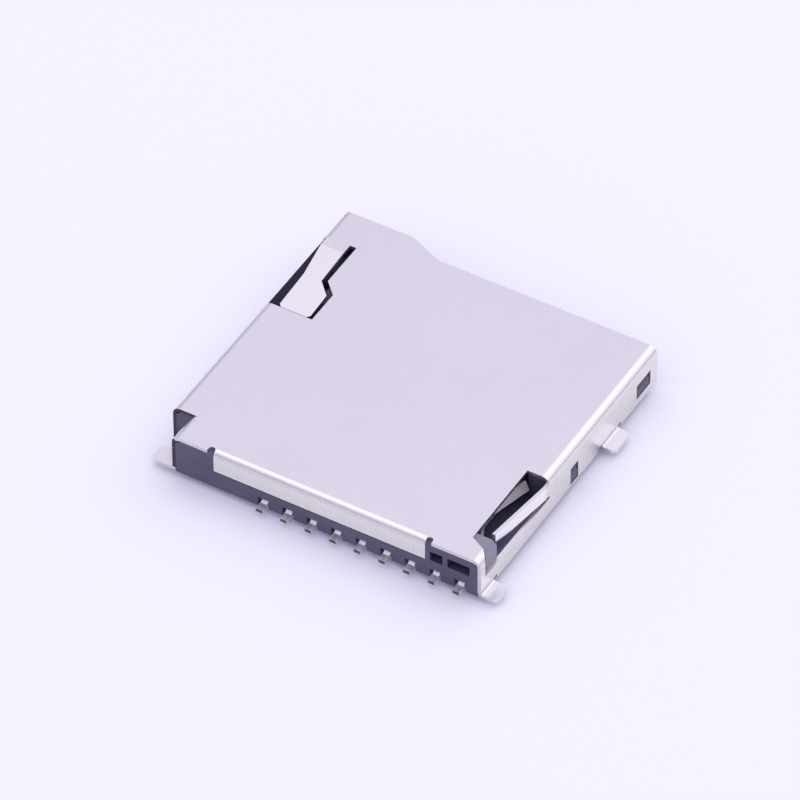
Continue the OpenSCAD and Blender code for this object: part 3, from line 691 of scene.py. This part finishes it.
def dress(
    node: str,
    materials: Sequence[bpy.types.Material],
    chooser: Optional[Callable[[bpy.types.MeshPolygon], Enum]] = None,
    edge: Optional[SoftEdge] = None,
    body: Body = Body.SOCKET,
) -> None:
    """Gives a CAD node its materials and softened edges.

    Args:
        node: Name of the node.
        materials: Materials by index.
        chooser: Picks the kind of a face, whose value is its material's index.
        edge: Round of the edges, if they are softened.
        body: Body that carries the node, for the log.
    """
    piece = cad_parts[node]
    mesh = piece.data
    mesh.materials.clear()
    for material in materials:
        mesh.materials.append(material)
    for face in mesh.polygons:
        face.material_index = chooser(face).value if chooser else 0
    if edge is not None:
        edge.build(piece)
    names = ", ".join(material.name for material in materials)
    LOG.info("%s on the %s dressed with %s", node, body.value, names)


@dataclass
class Cover:
    """Folded steel cover with its spring fingers, lip and solder feet."""

    lip_left_mm: float = -4.63
    lip_right_mm: float = 4.85
    lip_front_mm: float = -6.9
    lip_bend_mm: float = 0.3
    wall_mm: float = 6.3
    foot_top_mm: float = 0.3
    foot_under_mm: float = 0.03
    window_drop_mm: float = 0.5
    plate_under_mm: float = 1.3
    corner_right_mm: float = -6.1
    corner_rear_mm: float = -5.7
    corner_low_mm: float = 0.2
    front_edge_mm: float = -7.0
    front_edge_drop_mm: float = 0.17
    finger_left_mm: float = 6.0
    finger_facing: float = 0.9
    finger_lean: float = 0.1
    facing: float = 0.95
    node: str = "cover"
    top_mm: float = field(init=False)

    def __post_init__(self) -> None:
        """Takes the cover's height from the frame."""
        self.top_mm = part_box(self.node)[1].z / MM

    def is_cut_edge(self, face: bpy.types.MeshPolygon) -> bool:
        """Tells a cut edge of the sheet from its broad faces.

        Args:
            face: Face of the cover.

        Returns:
            True for a cut edge.
        """
        normal, middle = face.normal, face.center / MM
        if abs(normal.y) > self.facing:
            in_lip = self.lip_left_mm < middle.x < self.lip_right_mm
            below_bend = middle.z < self.top_mm - self.lip_bend_mm
            return not (in_lip and below_bend and middle.y < self.lip_front_mm)
        if abs(normal.x) > self.facing:
            return abs(middle.x) < self.wall_mm
        if normal.z > self.facing:
            return self.foot_top_mm < middle.z < self.top_mm - self.window_drop_mm
        if normal.z < -self.facing:
            return self.foot_under_mm < middle.z < self.plate_under_mm
        return False

    def is_finger(self, face: bpy.types.MeshPolygon) -> bool:
        """Tells the outer side of the switch finger, which leans in from the right wall.

        Args:
            face: Face of the cover.

        Returns:
            True for the finger.
        """
        leans = face.normal.x > self.finger_facing and face.normal.y < -self.finger_lean
        return leans and face.center.x > self.finger_left_mm * MM

    def kind_of(self, face: bpy.types.MeshPolygon) -> CoverFace:
        """Picks the kind of a face.

        Args:
            face: Face of the cover.

        Returns:
            The face's kind, with painted shade on a cut edge at the cut-away corner.
        """
        if self.is_finger(face):
            return CoverFace.FINGER
        if not self.is_cut_edge(face):
            return CoverFace.PLATE
        x, y, z = face.center / MM
        in_corner = x < self.corner_right_mm and y < self.corner_rear_mm and z > self.corner_low_mm
        in_front = y < self.front_edge_mm and z > self.top_mm - self.front_edge_drop_mm
        return CoverFace.CORNER_SHADE_EDGE if in_corner and not in_front else CoverFace.CUT_EDGE

    def build(self) -> None:
        """Dresses the sheet, its cut edges and the switch finger."""
        finishes = {
            CoverFace.PLATE: PLATE,
            CoverFace.CUT_EDGE: EDGE,
            CoverFace.CORNER_SHADE_EDGE: CORNER_SHADE_EDGE,
            CoverFace.FINGER: FINGER_PAINTED_LIGHT,
        }
        dress(self.node, [finishes[kind].material() for kind in CoverFace], self.kind_of)


@dataclass
class Housing:
    """Moulded base under the cover."""

    edge: SoftEdge = SoftEdge(0.02)
    node: str = "housing"

    def build(self) -> None:
        """Dresses the moulding."""
        dress(self.node, [BLACK.material()], edge=self.edge)


@dataclass
class ContactRow:
    """Eight spring contacts and the detect contact beside them."""

    count: int = 8
    edge: SoftEdge = SoftEdge(0.012)
    end_mm: float = -7.4
    end_facing: float = 0.9
    detect: str = "detect_contact"

    def kind_of(self, face: bpy.types.MeshPolygon) -> StripFace:
        """Picks the kind of a face.

        Args:
            face: Face of a strip.

        Returns:
            The face's kind, painted dark as shade for the cut end of a tail.
        """
        at_end = face.normal.y < -self.end_facing and face.center.y < self.end_mm * MM
        return StripFace.CUT_END if at_end else StripFace.PLATED

    def build(self) -> None:
        """Dresses every strip of the row."""
        plating, cut_end = CONTACT.material(), TAIL_END_SHADE.material()
        for number in range(1, self.count + 1):
            dress(f"contact_{number}", [plating, cut_end], self.kind_of, self.edge)
        dress(self.detect, [DETECT.material(), cut_end], self.kind_of, self.edge)


@dataclass
class EjectSpring:
    """Coil that pushes the slider back, with closed end turns."""

    turns: int = 9
    wire_mm: float = 0.15
    steps_per_turn: int = 28
    sides: int = 12
    travel_mm: float = 2.1
    node: str = "eject_spring"
    joint: str = "slider_slide"
    low: Vector = field(init=False)
    high: Vector = field(init=False)
    centre: Vector = field(init=False)

    def __post_init__(self) -> None:
        """Takes the coil's box from the frame."""
        self.low, self.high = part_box(self.node)
        self.centre = (self.low + self.high) / 2.0

    def rise(self, share: float) -> float:
        """Gives the wire's place along the coil.

        Args:
            share: Share of the wire's length, from 0 to 1.

        Returns:
            Distance from the coil's first turn, in metres.
        """
        wire = self.wire_mm * MM
        length = self.high.y - self.low.y - wire
        closed = 1.0 / self.turns
        if share < closed:
            return wire * share / closed
        if share > 1.0 - closed:
            return length - wire * (1.0 - share) / closed
        return wire + (length - 2.0 * wire) * (share - closed) / (1.0 - 2.0 * closed)

    def ring(self, share: float) -> list[Vector]:
        """Gives the points round the wire at one place.

        Args:
            share: Share of the wire's length, from 0 to 1.

        Returns:
            The ring's points.
        """
        radius = self.wire_mm * MM / 2.0
        coil = (self.high.x - self.low.x) / 2.0 - radius
        turn = math.tau * self.turns * share
        out, along = Vector((math.cos(turn), 0.0, math.sin(turn))), Vector((0.0, 1.0, 0.0))
        start = self.low.y + radius
        middle = Vector((self.centre.x, start + self.rise(share), self.centre.z)) + out * coil
        points = []
        for side in range(self.sides):
            angle = math.tau * side / self.sides
            points.append(middle + (out * math.cos(angle) + along * math.sin(angle)) * radius)
        return points

    def wind(self) -> bpy.types.Mesh:
        """Winds the wire, ring by ring.

        Returns:
            The coil's mesh.
        """
        steps = self.turns * self.steps_per_turn
        shape = bmesh.new()
        rings = []
        for step in range(steps + 1):
            rings.append([shape.verts.new(point) for point in self.ring(step / steps)])
        for first, second in zip(rings, rings[1:]):
            for side in range(self.sides):
                after = (side + 1) % self.sides
                shape.faces.new((first[side], second[side], second[after], first[after])).smooth = True
        shape.faces.new(rings[0])
        shape.faces.new(list(reversed(rings[-1])))
        bmesh.ops.recalc_face_normals(shape, faces=shape.faces)
        mesh = bpy.data.meshes.new("eject_coil")
        shape.to_mesh(mesh)
        shape.free()
        return mesh

    def build(self) -> None:
        """Puts the coil in place of its CAD node."""
        mesh = self.wind()
        mesh.materials.append(WIRE.material())
        piece = bpy.data.objects.new("eject_coil", mesh)
        bpy.context.scene.collection.objects.link(piece)
        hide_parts(self.node)
        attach(piece, Body.SOCKET.value)
        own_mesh(piece)
        LOG.info("%s wound with %d turns", piece.name, self.turns)


@dataclass
class EjectSlider:
    """Slider with its heart cam, cam pin, card lock and spring."""

    edge: SoftEdge = SoftEdge(0.02)
    spring: EjectSpring = field(default_factory=EjectSpring)

    def build(self) -> None:
        """Dresses the moving pieces and winds the spring."""
        dress("slider", [SLIDER_BLACK.material()], edge=self.edge, body=Body.SLIDER)
        dress("cam_pin", [WIRE.material()], body=Body.CAM_PIN)
        dress("card_lock", [LEAF.material()], body=Body.SLIDER)
        self.spring.build()


@dataclass
class PhotoCamera:
    """Camera at the photograph's angle."""

    azimuth_deg: float = 30.57
    elevation_deg: float = 44.11
    roll_deg: float = -0.18
    distance_mm: float = 308.8
    focal_px: float = 7905.0
    frame_px: float = 800.0
    sensor_mm: float = 36.0
    near_m: float = 0.01
    far_m: float = 10.0
    target_mm: tuple[float, float, float] = (0.07, -0.015, 0.9)
    middle_px: tuple[float, float] = (412.6, 401.2)

    def build(self) -> None:
        """Sets the camera up and makes it the scene's own."""
        data = bpy.data.cameras.new("photo_camera")
        data.sensor_width = self.sensor_mm
        data.lens = self.focal_px * self.sensor_mm / self.frame_px
        data.shift_x = (self.frame_px / 2.0 - self.middle_px[0]) / self.frame_px
        data.shift_y = (self.middle_px[1] - self.frame_px / 2.0) / self.frame_px
        data.clip_start, data.clip_end = self.near_m, self.far_m
        back = toward(self.azimuth_deg, self.elevation_deg)
        turn = (-back).to_track_quat("-Z", "Y").to_matrix().to_4x4()
        roll = Matrix.Rotation(math.radians(self.roll_deg), 4, "Z")
        place = Matrix.Translation((Vector(self.target_mm) + back * self.distance_mm) * MM)
        camera = bpy.data.objects.new("photo_camera", data)
        camera.matrix_world = place @ turn @ roll
        bpy.context.scene.collection.objects.link(camera)
        bpy.context.scene.camera = camera
        LOG.info("camera at %.1f degrees round, %.1f up", self.azimuth_deg, self.elevation_deg)


@dataclass(frozen=True)
class SoftBox:
    """One square studio lamp, given by its direction from the socket."""

    name: str
    azimuth_deg: float
    elevation_deg: float
    distance_m: float
    side_m: float
    radiance: float

    def build(self) -> None:
        """Hangs the lamp and turns it to the socket."""
        data = bpy.data.lights.new(self.name, "AREA")
        data.shape = "SQUARE"
        data.size = self.side_m
        data.energy = self.radiance * math.pi * self.side_m**2
        back = toward(self.azimuth_deg, self.elevation_deg)
        lamp = bpy.data.objects.new(self.name, data)
        lamp.location = back * self.distance_m
        lamp.rotation_mode = "QUATERNION"
        lamp.rotation_quaternion = back.to_track_quat("Z", "Y")
        bpy.context.scene.collection.objects.link(lamp)


@dataclass
class Studio:
    """Pale floor, soft lamps and a room that is brighter overhead."""

    floor_m: float = 1.2
    floor_gap_mm: float = 0.005
    sky: Stops = (
        (0.0, (0.24, 0.222, 0.276)),
        (0.16, (0.56, 0.523, 0.648)),
        (0.50, (0.74, 0.691, 0.861)),
        (0.72, (0.815, 0.76, 0.957)),
        (0.82, (1.20, 1.155, 1.32)),
        (0.92, (1.35, 1.30, 1.48)),
    )
    lamps: tuple[SoftBox, ...] = (
        SoftBox("key_lamp", 145.0, 38.0, 0.45, 0.28, 0.18),
        SoftBox("key_spread", 145.0, 38.0, 0.46, 0.6, 0.27),
    )

    def lay_floor(self) -> None:
        """Lays the floor just under the socket."""
        half = self.floor_m / 2.0
        level = CAD_BOX[0].z - self.floor_gap_mm * MM
        corners = [(x * half, y * half, level) for x, y in ((-1, -1), (1, -1), (1, 1), (-1, 1))]
        mesh = bpy.data.meshes.new("stage_floor")
        mesh.from_pydata(corners, [], [(0, 1, 2, 3)])
        mesh.materials.append(FLOOR.material())
        floor = bpy.data.objects.new("stage_floor", mesh)
        bpy.context.scene.collection.objects.link(floor)

    def light_room(self) -> None:
        """Fills the room with a soft light, tinted by its height."""
        world = bpy.data.worlds.new("studio_room")
        world.use_nodes = True
        tree = world.node_tree
        tree.nodes.clear()
        source = tree.nodes.new("ShaderNodeTexCoord")
        parts = tree.nodes.new("ShaderNodeSeparateXYZ")
        ramp = tree.nodes.new("ShaderNodeValToRGB")
        fill_ramp(ramp, self.sky)
        light = tree.nodes.new("ShaderNodeBackground")
        output = tree.nodes.new("ShaderNodeOutputWorld")
        tree.links.new(source.outputs["Generated"], parts.inputs["Vector"])
        tree.links.new(parts.outputs["Z"], ramp.inputs["Fac"])
        tree.links.new(ramp.outputs["Color"], light.inputs["Color"])
        tree.links.new(light.outputs["Background"], output.inputs["Surface"])
        bpy.context.scene.world = world

    def build(self) -> None:
        """Sets the stage up."""
        bpy.context.scene.view_settings.view_transform = "Standard"
        self.lay_floor()
        self.light_room()
        for lamp in self.lamps:
            lamp.build()
        LOG.info("stage lit by %d lamps", len(self.lamps))


def main() -> None:
    """Builds the stage and dresses the socket, piece by piece."""
    logging.basicConfig(level=logging.INFO, format="%(name)s: %(message)s")
    PhotoCamera().build()
    Studio().build()
    Cover().build()
    Housing().build()
    ContactRow().build()
    EjectSlider().build()


if __name__ == "__main__":
    main()
